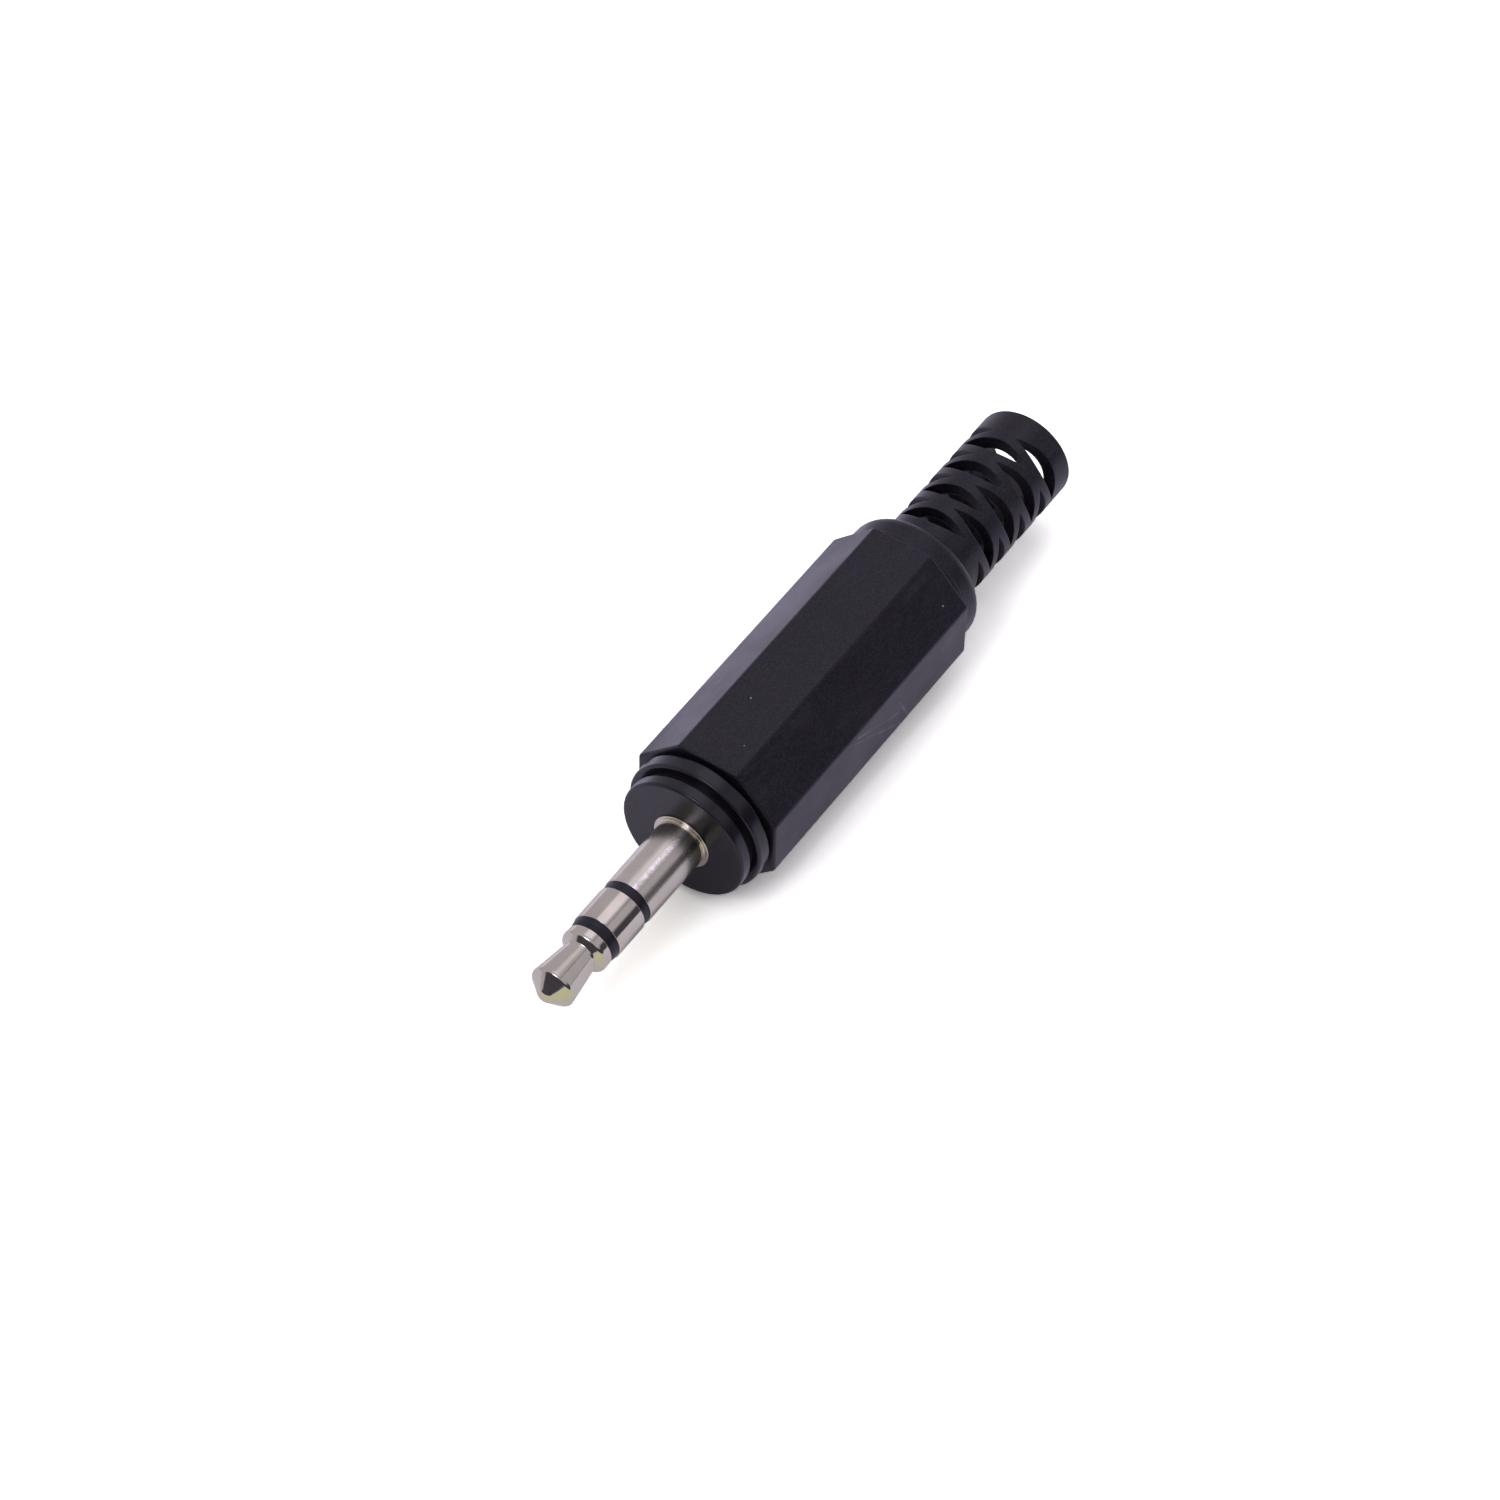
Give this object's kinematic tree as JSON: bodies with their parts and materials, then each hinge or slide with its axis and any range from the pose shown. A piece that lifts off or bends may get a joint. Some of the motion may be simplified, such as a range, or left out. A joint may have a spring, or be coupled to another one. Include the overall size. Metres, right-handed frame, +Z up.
{
  "type": "stereo jack plug",
  "caption": "Straight three-contact audio jack plug with an octagonal screw-on cover and a slotted strain relief, lying on one flat",
  "frame": {"origin": "on the plug's axis, at the front face of the thin bright flange where the sleeve meets the black collar", "axes": "+X runs along the axis from the tip to the cable end, +Z is up, normal to the cover's top flat, +Y follows by the right hand"},
  "size_m": [0.0556, 0.0104, 0.0104],
  "materials": {
    "nickel": "nickel-plated brass, fine turning marks",
    "bush_black": "black insulating bush",
    "collar_black": "polished black moulding",
    "tinned": "tinned sheet metal, stamped",
    "washer_board": "brown laminate insulating washer",
    "cover_black": "satin black moulding with a fine grain"
  },
  "bodies": {
    "plug": {"tip_contact": "nickel", "tip_insulator": "bush_black", "ring_contact": "nickel", "ring_insulator": "bush_black", "sleeve_contact": "nickel", "collar": "collar_black", "ground_terminal": "tinned", "front_washer": "washer_board", "ring_terminal": "tinned", "rear_washer": "washer_board", "tip_terminal": "tinned"},
    "cover": {"cover": "cover_black"}
  },
  "joints": [
    {"name": "cover_slide", "type": "slide", "parent": "plug", "child": "cover", "axis": [1, 0, 0], "range_m": [0, 0.022]}
  ]
}
